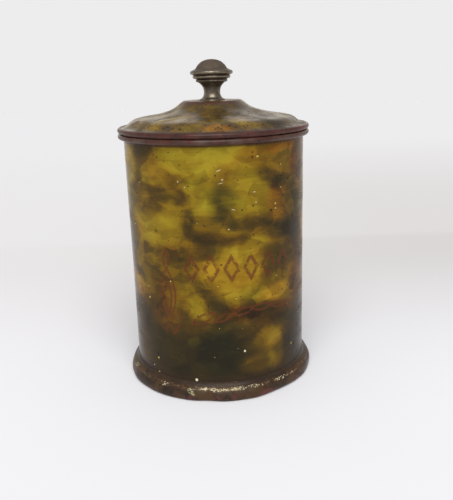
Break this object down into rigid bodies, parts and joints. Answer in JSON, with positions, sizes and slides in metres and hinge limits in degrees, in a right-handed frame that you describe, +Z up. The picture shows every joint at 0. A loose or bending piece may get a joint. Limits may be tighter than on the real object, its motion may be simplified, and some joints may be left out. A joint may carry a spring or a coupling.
{
  "type": "lidded storage canister",
  "caption": "Cylindrical lacquered tinplate canister with a moulded foot, wired rims and a stepped lift-off lid with a turned metal knob.",
  "frame": {"origin": "centre of the foot's footprint, on the surface that the canister stands on", "axes": "+Z up along the canister's axis; the side seam is at the back, on +Y"},
  "size_m": [0.12, 0.12, 0.1965],
  "materials": {
    "body_lacquer": "glossy marbled lacquer, olive yellow clouded with dark brown, worn",
    "foot_lacquer": "glossy dark brown lacquer, chipped along the ridge",
    "lid_lacquer": "glossy marbled olive brown lacquer with a reddish brown rim",
    "tinplate": "bare tinplate, dulled and stained",
    "wire": "drawn iron wire",
    "knob_metal": "turned white metal with a brown patina",
    "screw_steel": "plain steel"
  },
  "bodies": {
    "canister": {"body_shell": "body_lacquer", "body_rim_wire": "wire", "bottom_disc": "tinplate", "foot_band": "foot_lacquer"},
    "lid_carrier": {"lid_rim_wire": "wire"},
    "lid": {"lid_dome": "lid_lacquer", "lid_collar": "tinplate", "knob": "knob_metal", "knob_washer": "tinplate", "knob_screw": "screw_steel"}
  },
  "joints": [
    {"name": "lid_lift", "type": "slide", "parent": "canister", "child": "lid_carrier", "axis": [0, 0, 1], "range_m": [0, 0.13]},
    {"name": "lid_turn", "type": "hinge", "parent": "lid_carrier", "child": "lid", "pos_m": [0, 0, 0.155], "axis": [0, 0, 1], "continuous": true}
  ]
}
